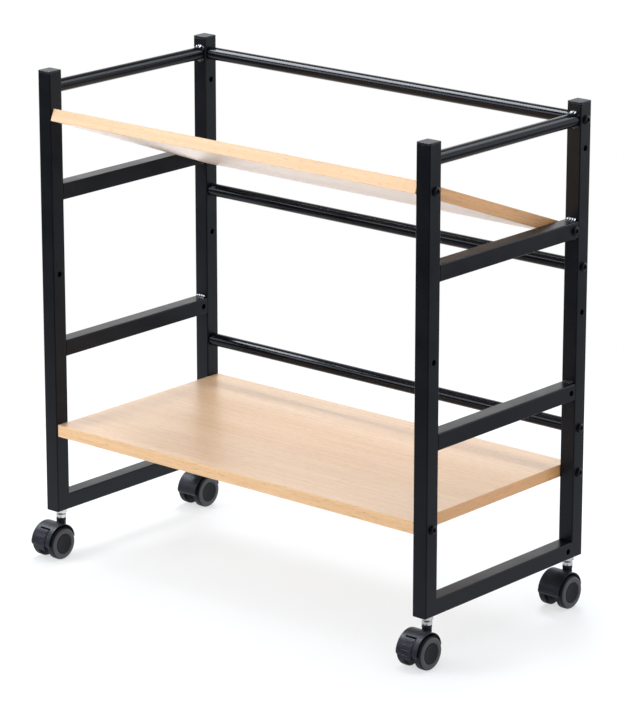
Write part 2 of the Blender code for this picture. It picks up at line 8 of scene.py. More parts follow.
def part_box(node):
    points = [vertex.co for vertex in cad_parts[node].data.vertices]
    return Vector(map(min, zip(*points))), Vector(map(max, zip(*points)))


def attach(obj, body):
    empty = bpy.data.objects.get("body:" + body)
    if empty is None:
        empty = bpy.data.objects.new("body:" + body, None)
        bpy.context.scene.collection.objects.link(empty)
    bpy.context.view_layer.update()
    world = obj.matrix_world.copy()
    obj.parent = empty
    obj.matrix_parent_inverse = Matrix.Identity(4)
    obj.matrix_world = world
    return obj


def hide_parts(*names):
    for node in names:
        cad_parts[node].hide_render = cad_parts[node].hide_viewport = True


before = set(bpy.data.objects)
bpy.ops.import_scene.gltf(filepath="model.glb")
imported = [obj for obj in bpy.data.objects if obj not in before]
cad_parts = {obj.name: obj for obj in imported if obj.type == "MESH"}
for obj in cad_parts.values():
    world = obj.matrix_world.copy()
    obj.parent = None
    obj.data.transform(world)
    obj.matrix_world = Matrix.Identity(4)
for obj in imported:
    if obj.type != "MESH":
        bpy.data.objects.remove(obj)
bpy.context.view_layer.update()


# Powder coat: a thin baked coat of matt black, on every steel tube and bar. Sprayed dry and melted in an
# oven, it settles into a fine orange peel, with a soft sheen that wanders a little from place to place.
COAT_BLACK = (0.0036, 0.0040, 0.0066, 1.0)
COAT_GREY = (0.0056, 0.0061, 0.0094, 1.0)
COOL_GLOSS = (0.80, 0.89, 1.0, 1.0)
COAT_SHINE = 0.21


def add_node(tree, kind, **values):
    """A shader node with its settings and unlinked inputs given by name, or inputs by number."""
    made = tree.nodes.new(kind)
    for name, value in values.items():
        if name.startswith("in_"):
            key = name[3:].replace("_", " ")
            made.inputs[int(key) if key.isdigit() else key].default_value = value
        else:
            setattr(made, name, value)
    return made


def new_group(name, inputs, outputs):
    """An empty node group with float, colour or vector sockets."""
    group = bpy.data.node_groups.new(name, "ShaderNodeTree")
    for way, sockets in (("INPUT", inputs), ("OUTPUT", outputs)):
        for socket, kind in sockets.items():
            group.interface.new_socket(name=socket, in_out=way, socket_type=f"NodeSocket{kind}")
    entry = group.nodes.new("NodeGroupInput")
    leave = group.nodes.new("NodeGroupOutput")
    return group, entry, leave


def new_finish(name):
    """A material with its node tree, shader and a coordinate node on the piece's own frame."""
    made = bpy.data.materials.new(name)
    made.use_nodes = True
    tree = made.node_tree
    return made, tree, tree.nodes["Principled BSDF"], add_node(tree, "ShaderNodeTexCoord")


def make_pebble_group():
    """Fine pebbling of a sprayed or moulded skin, and slow changes in tone across it."""
    group, entry, leave = new_group(
        "pebbled_skin",
        {"Place": "Vector", "Pebbles": "Float", "Patches": "Float"},
        {"Height": "Float", "Tone": "Float"},
    )
    links = group.links
    pebbles = add_node(group, "ShaderNodeTexNoise", in_Detail=2.0, in_Roughness=0.55)
    pits = add_node(group, "ShaderNodeTexVoronoi", feature="SMOOTH_F1")
    patches = add_node(group, "ShaderNodeTexNoise", in_Detail=4.0, in_Roughness=0.6)
    mixed = add_node(group, "ShaderNodeMath", operation="MULTIPLY_ADD", in_1=0.6)
    spread = add_node(group, "ShaderNodeMapRange", in_From_Min=0.32, in_From_Max=0.68)
    for texture, size in ((pebbles, "Pebbles"), (pits, "Pebbles"), (patches, "Patches")):
        links.new(entry.outputs["Place"], texture.inputs["Vector"])
        links.new(entry.outputs[size], texture.inputs["Scale"])
    links.new(pits.outputs["Distance"], mixed.inputs[0])
    links.new(pebbles.outputs["Fac"], mixed.inputs[2])
    links.new(patches.outputs["Fac"], spread.inputs["Value"])
    links.new(mixed.outputs[0], leave.inputs["Height"])
    links.new(spread.outputs["Result"], leave.inputs["Tone"])
    return group


def pebbled_finish(name, dark, light, gloss, pebbles, patches, depth, shine=0.5):
    """A skin that varies between two tones and two roughnesses, with pebbles so many to the metre."""
    made, tree, shader, place = new_finish(name)
    shader.inputs["Specular IOR Level"].default_value = shine
    shader.inputs["Specular Tint"].default_value = COOL_GLOSS
    links = tree.links
    skin = add_node(tree, "ShaderNodeGroup", node_tree=pebbled_skin, in_Pebbles=pebbles, in_Patches=patches)
    tone = add_node(tree, "ShaderNodeMix", data_type="RGBA", in_6=dark, in_7=light)
    rough = add_node(tree, "ShaderNodeMapRange", in_To_Min=gloss[0], in_To_Max=gloss[1])
    bump = add_node(tree, "ShaderNodeBump", in_Strength=0.35, in_Distance=depth)
    links.new(place.outputs["Object"], skin.inputs["Place"])
    links.new(skin.outputs["Tone"], tone.inputs["Factor"])
    links.new(skin.outputs["Tone"], rough.inputs["Value"])
    links.new(skin.outputs["Height"], bump.inputs["Height"])
    links.new(tone.outputs[2], shader.inputs["Base Color"])
    links.new(rough.outputs["Result"], shader.inputs["Roughness"])
    links.new(bump.outputs["Normal"], shader.inputs["Normal"])
    return made


pebbled_skin = make_pebble_group()
powder_coat = pebbled_finish(
    "matt_black_powder_coat",
    COAT_BLACK,
    COAT_GREY,
    gloss=(0.30, 0.38),
    pebbles=1400.0,
    patches=22.0,
    depth=0.00012,
    shine=COAT_SHINE,
)


# Posts of the two side frames: 20 mm square steel tube, cut to a mitre at the foot. Holes are drilled
# through from side to side for the shelves, and in the rear posts for the back bars.
SIDES = {"left": -1, "right": 1}
ENDS = {"front": 1, "rear": -1}
TUBE_WALL = 0.0012
TUBE_CORNER = 0.0015
HOLE_RADIUS = 0.0035
HOLE_SIDES = 24
SHELF_HOLES = (0.164, 0.360, 0.556)
BAR_HOLES = (0.219, 0.415, 0.5895)
FRAME_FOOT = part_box("left_bottom_rail")[0].z
FRAME_ENDS = {"front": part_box("left_bottom_rail")[0].y, "rear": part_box("left_bottom_rail")[1].y}
MITRE_GAP = 0.00004
TUBE_EASE = 0.0001
EASE_ANGLE = math.radians(40)
HOLE_MARGIN = 1.5 * HOLE_RADIUS


def as_piece(name, bm, finishes, body, nodes, ease=0.0):
    """A piece made from a bmesh, with eased edges. It rides on a CAD body and stands for CAD nodes."""
    for face in bm.faces:
        face.smooth = True
    mesh = bpy.data.meshes.new(name)
    bm.to_mesh(mesh)
    bm.free()
    mesh.set_sharp_from_angle(angle=EASE_ANGLE)
    for finish in finishes:
        mesh.materials.append(finish)
    obj = bpy.data.objects.new(name, mesh)
    bpy.context.scene.collection.objects.link(obj)
    if ease:
        eased = obj.modifiers.new("eased_edges", "BEVEL")
        eased.width = ease
        eased.segments = 2
        eased.limit_method = "ANGLE"
        eased.angle_limit = EASE_ANGLE
    shading = obj.modifiers.new("even_shading", "WEIGHTED_NORMAL")
    shading.keep_sharp = True
    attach(obj, body)
    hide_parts(*nodes)
    return obj


def square_tube(length, side, holes):
    """A round-cornered tube along Z, centred, drilled from side to side along X at the given heights."""
    bm = bmesh.new()
    bmesh.ops.create_cube(bm, size=1.0, matrix=Matrix.Diagonal((side, side, length, 1.0)))
    bmesh.ops.delete(bm, geom=[f for f in bm.faces if abs(f.normal.z) > 0.5], context="FACES_ONLY")
    corners = [e for e in bm.edges if abs(e.verts[0].co.z - e.verts[1].co.z) > length / 2]
    bmesh.ops.bevel(
        bm, geom=corners, offset=TUBE_CORNER, segments=4, profile=0.5, affect="EDGES", material=-1
    )
    for height in holes:
        for edge in (height - HOLE_MARGIN, height + HOLE_MARGIN):
            geom = bm.verts[:] + bm.edges[:] + bm.faces[:]
            bmesh.ops.bisect_plane(bm, geom=geom, plane_co=(0, 0, edge), plane_no=(0, 0, 1))
        for sign in SIDES.values():
            centre = Vector((sign * side / 2, 0, height))
            wall = min(bm.faces, key=lambda f: (f.calc_center_median() - centre).length)
            outline = wall.edges[:]
            bmesh.ops.delete(bm, geom=[wall], context="FACES_ONLY")
            place = Matrix.Translation(centre) @ Matrix.Rotation(math.pi / 2, 4, "Y")
            hole = bmesh.ops.create_circle(bm, segments=HOLE_SIDES, radius=HOLE_RADIUS, matrix=place)
            rim = {e for v in hole["verts"] for e in v.link_edges}
            bmesh.ops.triangle_fill(bm, edges=outline + list(rim), use_beauty=True)
    bmesh.ops.recalc_face_normals(bm, faces=bm.faces)
    bmesh.ops.solidify(bm, geom=bm.faces[:], thickness=TUBE_WALL)
    return bm


def mitre(bm, end, keep_post):
    """Cuts a bottom corner of a side frame at 45 degrees and closes the cut wall."""
    shift = MITRE_GAP if keep_post else -MITRE_GAP
    point = (0, FRAME_ENDS[end], FRAME_FOOT + shift)
    geom = bm.verts[:] + bm.edges[:] + bm.faces[:]
    slope = (0, -ENDS[end], 1)
    cut = bmesh.ops.bisect_plane(
        bm, geom=geom, plane_co=point, plane_no=slope, clear_inner=keep_post, clear_outer=not keep_post
    )
    bmesh.ops.bridge_loops(bm, edges=[e for e in cut["geom_cut"] if isinstance(e, bmesh.types.BMEdge)])


for side in SIDES:
    for end in ENDS:
        low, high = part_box(f"{side}_{end}_post")
        middle = (low + high) / 2
        middle.z = (FRAME_FOOT + high.z) / 2
        heights = SHELF_HOLES + (BAR_HOLES if end == "rear" else ())
        post = square_tube(high.z - FRAME_FOOT, high.x - low.x, [z - middle.z for z in heights])
        bmesh.ops.translate(post, verts=post.verts, vec=middle)
        mitre(post, end, True)
        node = f"{side}_{end}_post"
        as_piece(f"{side}_{end}_tube", post, [powder_coat], "frame", [node], TUBE_EASE)


# Rails of the side frames: the same tube laid from front to back. The bottom one is mitred to the posts,
# the other two are cut square and welded between them. Each has a hole near the rear for a slanted board.
RAIL_HOLE_Y = 0.13292
ALONG_Y = Matrix.Rotation(-math.pi / 2, 4, "X")

for side in SIDES:
    for level in ("bottom", "lower", "upper"):
        node = f"{side}_{level}_rail"
        low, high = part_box(node)
        width = high.x - low.x
        inset = 0.0 if level == "bottom" else width
        front_y, rear_y = FRAME_ENDS["front"] + inset, FRAME_ENDS["rear"] - inset
        middle = Vector(((low.x + high.x) / 2, (front_y + rear_y) / 2, (low.z + high.z) / 2))
        rail = square_tube(rear_y - front_y, width, [RAIL_HOLE_Y - middle.y])
        bmesh.ops.transform(rail, matrix=Matrix.Translation(middle) @ ALONG_Y, verts=rail.verts)
        if level == "bottom":
            for end in ENDS:
                mitre(rail, end, False)
        as_piece(f"{side}_{level}_crossing", rail, [powder_coat], "frame", [node], TUBE_EASE)


# Top bars of the side frames: round steel tube, 16 mm across, welded between the heads of the posts. They
# tie each side frame together and serve as handles.
BAR_SIDES = 48
BAR_SHINE = 0.17
TOP_BAR_EDGE = 0.0004
bar_coat = pebbled_finish(
    "gloss_black_bar_coat",
    COAT_BLACK,
    COAT_GREY,
    gloss=(0.14, 0.20),
    pebbles=1400.0,
    patches=22.0,
    depth=0.00003,
    shine=BAR_SHINE,
)


def turned(profile, steps):
    """A shape turned about Z from a line of (radius, height) points."""
    bm = bmesh.new()
    line = [bm.verts.new((r, 0, z)) for r, z in profile]
    geom = line + [bm.edges.new(pair) for pair in zip(line, line[1:])]
    bmesh.ops.spin(
        bm, geom=geom, axis=(0, 0, 1), cent=(0, 0, 0), angle=2 * math.pi, steps=steps, use_merge=True
    )
    bmesh.ops.remove_doubles(bm, verts=bm.verts, dist=1e-6)
    bmesh.ops.recalc_face_normals(bm, faces=bm.faces)
    return bm


def round_bar(length, radius, edge):
    """A bar along Z with softened ends."""
    half = length / 2
    profile = [(0.0, half), (radius - edge, half), (radius, half - edge)]
    profile += [(r, -z) for r, z in reversed(profile)]
    return turned(profile, BAR_SIDES)


for side in SIDES:
    low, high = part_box(f"{side}_top_bar")
    front_y, rear_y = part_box(f"{side}_front_post")[1].y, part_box(f"{side}_rear_post")[0].y
    bar = round_bar(rear_y - front_y, (high.z - low.z) / 2, TOP_BAR_EDGE)
    middle = Vector(((low.x + high.x) / 2, (front_y + rear_y) / 2, (low.z + high.z) / 2))
    bmesh.ops.transform(bar, matrix=Matrix.Translation(middle) @ ALONG_Y, verts=bar.verts)
    as_piece(f"{side}_handle_bar", bar, [bar_coat], "frame", [f"{side}_top_bar"])


# Weld beads of the side frames: a short rippled run above and below the lower and upper rails at each post,
# and one over and under each end of the top bars. The frame's coat covers them, and shines more there.
WELD_LENGTH = 0.015
WELD_FACE = 0.0030
WELD_RISE = 0.0011
WELD_OUT = 0.0010
WELD_TAPER = 0.5
WELD_SIDES = 16
RIPPLE = 0.0034
RIPPLE_RISE = 0.20
RIPPLE_BOW = 0.4
RIPPLE_STEPS = 8
BEAD_SHINE = 0.7
bead_coat = pebbled_finish(
    "coat_on_weld",
    COAT_BLACK,
    COAT_GREY,
    gloss=(0.08, 0.14),
    pebbles=900.0,
    patches=60.0,
    depth=0.00004,
    shine=BEAD_SHINE,
)


def add_shape(bm, shape):
    """Adds a finished shape to another bmesh."""
    mesh = bpy.data.meshes.new("shape")
    shape.to_mesh(mesh)
    shape.free()
    bm.from_mesh(mesh)
    bpy.data.meshes.remove(mesh)


def weld_run():
    """A flat rippled bead along X, leaning in the corner of two walls that look along Y and Z."""
    bm = bmesh.new()
    along_x = Matrix.Rotation(math.pi / 2, 4, "Y")
    bmesh.ops.create_cone(
        bm, cap_ends=True, segments=WELD_SIDES, radius1=1.0, radius2=1.0, depth=WELD_LENGTH, matrix=along_x
    )
    long_edges = [e for e in bm.edges if abs(e.verts[0].co.x - e.verts[1].co.x) > WELD_LENGTH / 2]
    cuts = RIPPLE_STEPS * round(WELD_LENGTH / RIPPLE) - 1
    bmesh.ops.subdivide_edges(bm, edges=long_edges, cuts=cuts, use_grid_fill=True)
    lean = Matrix.Rotation(-math.pi / 4, 3, "X")
    for vert in bm.verts:
        x, y, z = vert.co
        taper = 1 - WELD_TAPER * (2 * x / WELD_LENGTH) ** 8
        swell = 1 + RIPPLE_RISE * math.cos(2 * math.pi * (x / RIPPLE + RIPPLE_BOW * y * y))
        section = Vector((x, WELD_FACE * taper * y, WELD_RISE * taper * swell * z))
        vert.co = lean @ section + Vector((0, WELD_OUT, WELD_OUT))
    return bm


for side in SIDES:
    welds = bmesh.new()
    low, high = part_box(f"{side}_top_bar")
    middle = (low + high) / 2
    radius = high.z - middle.z
    for end, inward in ENDS.items():
        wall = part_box(f"{side}_{end}_post")[0 if inward < 0 else 1].y
        for up in (-1, 1):
            for level in ("lower", "upper"):
                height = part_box(f"{side}_{level}_rail")[0 if up < 0 else 1].z
                run = weld_run()
                for vert in run.verts:
                    x, y, z = vert.co
                    vert.co = middle.x + x, wall + inward * y, height + up * z
                add_shape(welds, run)
            arc = weld_run()
            for vert in arc.verts:
                x, y, z = vert.co
                turn, reach = x / radius, up * (radius + z)
                across, upward = reach * math.sin(turn), reach * math.cos(turn)
                vert.co = middle.x + across, wall + inward * y, middle.z + upward
            add_shape(welds, arc)
    bmesh.ops.recalc_face_normals(welds, faces=welds.faces)
    as_piece(f"{side}_weld_beads", welds, [bead_coat], "frame", [])


# Post caps: square plugs of black moulded plastic, pushed into the open tube ends. The flange has the
# tube's outline and softened upper edges, and a fine seam stays open under it.
PLASTIC_BLACK = (0.0105, 0.0118, 0.0185, 1.0)
PLASTIC_GREY = (0.0160, 0.0178, 0.0265, 1.0)
PLASTIC_SHINE = 0.22
CAP_FLANGE = 0.003
CAP_EDGE = 0.0008
MERGE = 0.00001
CAP_EASE = 0.0002
PLUG_GAP = 0.0003
moulded_black = pebbled_finish(
    "black_moulded_plastic",
    PLASTIC_BLACK,
    PLASTIC_GREY,
    gloss=(0.36, 0.46),
    pebbles=2200.0,
    patches=30.0,
    depth=0.0001,
    shine=PLASTIC_SHINE,
)

for side in SIDES:
    for end in ENDS:
        node = f"{side}_{end}_cap"
        low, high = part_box(node)
        span = high.x - low.x
        cap = bmesh.new()
        bmesh.ops.create_cube(cap, size=1.0, matrix=Matrix.Diagonal((span, span, CAP_FLANGE, 1.0)))
        corners = [e for e in cap.edges if abs(e.verts[0].co.z - e.verts[1].co.z) > CAP_FLANGE / 2]
        bmesh.ops.bevel(
            cap, geom=corners, offset=TUBE_CORNER, segments=5, profile=0.5, affect="EDGES", material=-1
        )
        under = min(cap.faces, key=lambda f: f.calc_center_median().z)
        bmesh.ops.inset_individual(cap, faces=[under], thickness=TUBE_WALL + PLUG_GAP)
        plug = bmesh.ops.extrude_face_region(cap, geom=[under])
        bmesh.ops.delete(cap, geom=[under], context="FACES_ONLY")
        down = [v for v in plug["geom"] if isinstance(v, bmesh.types.BMVert)]
        bmesh.ops.translate(cap, verts=down, vec=(0, 0, CAP_FLANGE - (high.z - low.z)))
        rim = [e for e in cap.edges if all(v.co.z > 0.9 * CAP_FLANGE / 2 for v in e.verts)]
        bmesh.ops.bevel(cap, geom=rim, offset=CAP_EDGE, segments=4, profile=0.5, affect="EDGES", material=-1)
        bmesh.ops.remove_doubles(cap, verts=cap.verts, dist=MERGE)
        middle = Vector(((low.x + high.x) / 2, (low.y + high.y) / 2, high.z - CAP_FLANGE / 2))
        bmesh.ops.translate(cap, verts=cap.verts, vec=middle)
        as_piece(f"{side}_{end}_plug", cap, [moulded_black], "frame", [node], CAP_EASE)


# Back bars: round tubes between the rear posts, with a threaded plug in each end. They keep the frame
# square and stop what stands on the boards from falling out behind.
BACK_BAR_EDGE = 0.0006

for level in ("bottom", "middle", "top"):
    low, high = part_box(f"{level}_back_bar")
    bar = round_bar(high.x - low.x, (high.z - low.z) / 2, BACK_BAR_EDGE)
    place = Matrix.Translation((low + high) / 2) @ Matrix.Rotation(math.pi / 2, 4, "Y")
    bmesh.ops.transform(bar, matrix=place, verts=bar.verts)
    as_piece(f"{level}_rear_bar", bar, [bar_coat], "frame", [f"{level}_back_bar"])


# Boards: particle board faced with a glossy light beech print, paler underneath, and edged with a strip of
# the same print. The grain runs along the cart, and on the end strips from front to back.
BEECH_LIGHT = (0.800, 0.520, 0.285, 1.0)
BEECH_MID = (0.700, 0.420, 0.205, 1.0)
BEECH_FLECK = (0.480, 0.250, 0.105, 1.0)
FACE_TINT = (1.02, 1.11, 1.32, 1.0)
EDGE_TINT = (0.98, 0.97, 0.94, 1.0)
# Painted shade: the end strips are tinted darker and browner than the face and edges.
END_SHADE_TINT = (0.98, 0.84, 0.68, 1.0)
UNDER_TINT = (1.03, 1.34, 2.20, 1.0)
BOARD_DEPTH = 0.292
BOARD_THICKNESS = 0.015
BOARD_EDGE = 0.0005
TILT_RISE = 0.095
TILT_SPAN = 0.275
LACQUER = 0.8
LACQUER_ROUGHNESS = 0.34
PRINT_ROUGHNESS = (0.40, 0.48)
GRAIN_DEPTH = 0.00006
EDGE_STRIP, END_STRIP, UNDERSIDE = 1, 2, 3  # places in a board's finishes, after its face
SQUARE_ON = 0.8


def make_beech_group():
    """Printed beech: slow bands, long streaks and short dark flecks along X, with a faint grain."""
    group, entry, leave = new_group(
        "beech_print",
        {"Place": "Vector", "Light": "Color", "Middle": "Color", "Fleck": "Color"},
        {"Colour": "Color", "Height": "Float", "Sheen": "Float"},
    )
    links = group.links
    layers = {}
    for name, scale, detail in (
        ("bands", (1.3, 14.0, 14.0), 3.0),
        ("streaks", (5.0, 210.0, 210.0), 4.0),
        ("flecks", (85.0, 1500.0, 1500.0), 2.0),
    ):
        stretch = add_node(group, "ShaderNodeVectorMath", operation="MULTIPLY", in_1=scale)
        layers[name] = add_node(group, "ShaderNodeTexNoise", in_Scale=1.0, in_Detail=detail, in_Roughness=0.6)
        links.new(entry.outputs["Place"], stretch.inputs[0])
        links.new(stretch.outputs[0], layers[name].inputs["Vector"])
    mixed = add_node(group, "ShaderNodeMath", operation="MULTIPLY_ADD", in_1=0.55)
    half = add_node(group, "ShaderNodeMath", operation="MULTIPLY", in_1=0.45)
    wide = add_node(group, "ShaderNodeMapRange", in_From_Min=0.38, in_From_Max=0.62)
    dark = add_node(group, "ShaderNodeMapRange", in_From_Min=0.57, in_From_Max=0.68, in_To_Max=0.72)
    base = add_node(group, "ShaderNodeMix", data_type="RGBA")
    fleck = add_node(group, "ShaderNodeMix", data_type="RGBA")
    depth = add_node(group, "ShaderNodeMath", operation="SUBTRACT", in_0=1.0)
    links.new(layers["bands"].outputs["Fac"], half.inputs[0])
    links.new(layers["streaks"].outputs["Fac"], mixed.inputs[0])
    links.new(half.outputs[0], mixed.inputs[2])
    links.new(mixed.outputs[0], wide.inputs["Value"])
    links.new(layers["flecks"].outputs["Fac"], dark.inputs["Value"])
    links.new(wide.outputs["Result"], base.inputs["Factor"])
    links.new(entry.outputs["Light"], base.inputs[6])
    links.new(entry.outputs["Middle"], base.inputs[7])
    links.new(dark.outputs["Result"], fleck.inputs["Factor"])
    links.new(base.outputs[2], fleck.inputs[6])
    links.new(entry.outputs["Fleck"], fleck.inputs[7])
    links.new(dark.outputs["Result"], depth.inputs[1])
    links.new(fleck.outputs[2], leave.inputs["Colour"])
    links.new(depth.outputs[0], leave.inputs["Height"])
    links.new(wide.outputs["Result"], leave.inputs["Sheen"])
    return group


def beech_finish(name, turn, tint):
    """The beech print turned to a board's slant, or onto a strip, and tinted; on the end strips the tint is
    painted shade.
    """
    made, tree, shader, place = new_finish(name)
    links = tree.links
    slanted = add_node(tree, "ShaderNodeMapping", in_Rotation=turn)
    grain = add_node(
        tree,
        "ShaderNodeGroup",
        node_tree=beech_print,
        in_Light=[c * t for c, t in zip(BEECH_LIGHT, tint)],
        in_Middle=[c * t for c, t in zip(BEECH_MID, tint)],
        in_Fleck=[c * t for c, t in zip(BEECH_FLECK, tint)],
    )
    shader.inputs["Coat Weight"].default_value = LACQUER
    shader.inputs["Coat Roughness"].default_value = LACQUER_ROUGHNESS
    rough = add_node(tree, "ShaderNodeMapRange", in_To_Min=PRINT_ROUGHNESS[0], in_To_Max=PRINT_ROUGHNESS[1])
    bump = add_node(tree, "ShaderNodeBump", in_Strength=0.25, in_Distance=GRAIN_DEPTH)
    links.new(place.outputs["Object"], slanted.inputs["Vector"])
    links.new(slanted.outputs["Vector"], grain.inputs["Place"])
    links.new(grain.outputs["Sheen"], rough.inputs["Value"])
    links.new(grain.outputs["Height"], bump.inputs["Height"])
    links.new(grain.outputs["Colour"], shader.inputs["Base Color"])
    links.new(rough.outputs["Result"], shader.inputs["Roughness"])
    links.new(bump.outputs["Normal"], shader.inputs["Normal"])
    return made


beech_print = make_beech_group()
tilt = math.asin(TILT_RISE / TILT_SPAN)
for shelf, slant in (("lower_shelf", 0.0), ("tilted_shelf", -tilt)):
    low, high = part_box(shelf)
    size = (high.x - low.x, BOARD_DEPTH, BOARD_THICKNESS, 1.0)
    board = bmesh.new()
    bmesh.ops.create_cube(board, size=1.0, matrix=Matrix.Diagonal(size))
    bmesh.ops.bevel(
        board, geom=board.edges[:], offset=BOARD_EDGE, segments=3, profile=0.5, affect="EDGES", material=-1
    )
    for face in board.faces:
        x, y, z = face.normal
        if abs(x) > SQUARE_ON:
            face.material_index = END_STRIP
        elif abs(y) > SQUARE_ON:
            face.material_index = EDGE_STRIP
        elif z < -SQUARE_ON:
            face.material_index = UNDERSIDE
    place = Matrix.Translation((low + high) / 2) @ Matrix.Rotation(slant, 4, "X")
    bmesh.ops.transform(board, matrix=place, verts=board.verts)
    finishes = [
        beech_finish(f"{shelf}_beech_face", (-slant, 0, 0), FACE_TINT),
        beech_finish(f"{shelf}_beech_edge", (-slant, 0, 0), EDGE_TINT),
        beech_finish(f"{shelf}_beech_end_painted_shade", (-slant, 0, math.pi / 2), END_SHADE_TINT),
        beech_finish(f"{shelf}_beech_underside", (-slant, 0, 0), UNDER_TINT),
    ]
    as_piece(f"{shelf}_board", board, finishes, "frame", [shelf])


# Screws: button-head socket screws of blackened steel. Four hold each board through the tubes, and one goes
# through each rear post into the end of a back bar.
HEAD_RADIUS = 0.0054
HEAD_HEIGHT = 0.003
HEAD_FLAT = 0.62
HEAD_SKIRT = 0.2
HEAD_EDGE = 0.0003
MOUTH_RIM = 0.0004
SOCKET_RADIUS = 0.0023
SOCKET_DEPTH = 0.0018
SHANK_RADIUS = 0.003
SCREW_TIP = 0.001
SCREW_SIDES = 36
SCREW_EASE = 0.00015
STEEL_BLACK = (0.003, 0.003, 0.004, 1.0)
STEEL_GREY = (0.006, 0.006, 0.007, 1.0)
STEEL_SHINE = 0.18
black_steel = pebbled_finish(
    "black_oxide_steel",
    STEEL_BLACK,
    STEEL_GREY,
    gloss=(0.16, 0.24),
    pebbles=1500.0,
    patches=260.0,
    depth=0.00005,
    shine=STEEL_SHINE,
)


def socket_screw(length):
    """A screw along Z: the underside of its domed head is at the origin and its head points up."""
    flat = HEAD_FLAT * HEAD_RADIUS
    profile = [(flat - MOUTH_RIM, HEAD_HEIGHT)]
    for angle in (90, 75, 60, 45, 30, 15, 0):
        reach = flat + (HEAD_RADIUS - flat) * math.cos(math.radians(angle))
        height = HEAD_HEIGHT * (HEAD_SKIRT + (1 - HEAD_SKIRT) * math.sin(math.radians(angle)))
        profile.append((reach, height))
    profile += [(HEAD_RADIUS, HEAD_EDGE), (HEAD_RADIUS - HEAD_EDGE, 0.0), (SHANK_RADIUS, 0.0)]
    profile += [(SHANK_RADIUS, SCREW_TIP - length), (SHANK_RADIUS - SCREW_TIP, -length), (0.0, -length)]
    bm = turned(profile, SCREW_SIDES)
    mouth = [e for e in bm.edges if e.is_boundary]
    top = Matrix.Translation((0, 0, HEAD_HEIGHT))
    hexagon = bmesh.ops.create_circle(bm, segments=6, radius=SOCKET_RADIUS, matrix=top)
    sides = list({e for v in hexagon["verts"] for e in v.link_edges})
    bmesh.ops.bridge_loops(bm, edges=mouth + sides)
    walls = bmesh.ops.extrude_edge_only(bm, edges=sides)
    floor_verts = [v for v in walls["geom"] if isinstance(v, bmesh.types.BMVert)]
    bmesh.ops.translate(bm, verts=floor_verts, vec=(0, 0, -SOCKET_DEPTH))
    bmesh.ops.contextual_create(bm, geom=floor_verts)
    bmesh.ops.recalc_face_normals(bm, faces=bm.faces)
    return bm


screws = [f"{level}_back_bar_screw_{side}" for level in ("bottom", "middle", "top") for side in SIDES]
for shelf in ("lower_shelf", "tilted_shelf"):
    screws += [f"{shelf}_screw_{side}_{end}" for side in SIDES for end in ENDS]
for node in screws:
    low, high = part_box(node)
    sign = 1 if low.x + high.x > 0 else -1
    seat = (high.x if sign > 0 else low.x) - sign * HEAD_HEIGHT
    screw = socket_screw(high.x - low.x - HEAD_HEIGHT)
    turn = Matrix.Rotation(sign * math.pi / 2, 4, "Y")
    place = Matrix.Translation((seat, (low.y + high.y) / 2, (low.z + high.z) / 2)) @ turn
    bmesh.ops.transform(screw, matrix=place, verts=screw.verts)
    as_piece(f"{node}_head", screw, [black_steel], "frame", [node], SCREW_EASE)


# Caster stems: turned steel with a bright zinc plate. A collar sits on the hood's neck, and the thread
# above it goes up through a plated lock nut into the bottom rail.
ZINC_PALE = (0.800, 0.805, 0.815, 1.0)
ZINC_DULL = (0.560, 0.570, 0.590, 1.0)
COLLAR_TOP = 0.0525
COLLAR_BOTTOM = 0.0475
COLLAR_RADIUS = 0.00625
COLLAR_EDGE = 0.0006
COLLAR_FOOT_EDGE = 0.0005
JOURNAL_RADIUS = 0.0025
THREAD_RADIUS = 0.004
THREAD_PITCH = 0.00125
THREAD_DEPTH = 0.0005
THREAD_START = 0.0004
STEM_SIDES = 40
NUT_BOTTOM = 0.0537
NUT_TOP = 0.0587
NUT_RADIUS = 0.0075
NUT_EASE = 0.0005
zinc = pebbled_finish(
    "zinc_plate",
    ZINC_DULL,
    ZINC_PALE,
    gloss=(0.16, 0.30),
    pebbles=1800.0,
    patches=180.0,
    depth=0.00004,
)
zinc.node_tree.nodes["Principled BSDF"].inputs["Metallic"].default_value = 1.0


def stem_spot(side, end):
    """The point on the floor below a caster's stem."""
    low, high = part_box(f"{side}_{end}_caster_stem")
    return Vector(((low.x + high.x) / 2, (low.y + high.y) / 2, 0))


def caster_stem(bottom):
    """A stem along Z: ridged thread, collar, and a journal that ends at the given height."""
    profile = [(0.0, NUT_TOP - THREAD_START / 2)]
    for step in range(round((NUT_TOP - COLLAR_TOP) / THREAD_PITCH)):
        root = NUT_TOP - THREAD_START - step * THREAD_PITCH
        profile += [(THREAD_RADIUS - THREAD_DEPTH, root), (THREAD_RADIUS, root - THREAD_PITCH / 2)]
    profile += [(THREAD_RADIUS - THREAD_START, COLLAR_TOP)]
    profile += [(COLLAR_RADIUS - COLLAR_EDGE, COLLAR_TOP), (COLLAR_RADIUS, COLLAR_TOP - COLLAR_EDGE)]
    profile += [(COLLAR_RADIUS, COLLAR_BOTTOM + COLLAR_FOOT_EDGE)]
    profile += [(COLLAR_RADIUS - COLLAR_FOOT_EDGE, COLLAR_BOTTOM)]
    profile += [(JOURNAL_RADIUS, COLLAR_BOTTOM), (JOURNAL_RADIUS, bottom), (0.0, bottom)]
    return turned(profile, STEM_SIDES)


for side in SIDES:
    for end in ENDS:
        node = f"{side}_{end}_caster_stem"
        spot = stem_spot(side, end)
        stem = caster_stem(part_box(node)[0].z)
        bmesh.ops.translate(stem, verts=stem.verts, vec=spot)
        as_piece(f"{side}_{end}_stem", stem, [zinc], "frame", [node])
        nut = bmesh.new()
        place = Matrix.Translation(spot + Vector((0, 0, (NUT_BOTTOM + NUT_TOP) / 2)))
        height = NUT_TOP - NUT_BOTTOM
        bmesh.ops.create_cone(
            nut, cap_ends=True, segments=6, radius1=NUT_RADIUS, radius2=NUT_RADIUS, depth=height, matrix=place
        )
        as_piece(f"{side}_{end}_lock_nut", nut, [zinc], "frame", [], NUT_EASE)


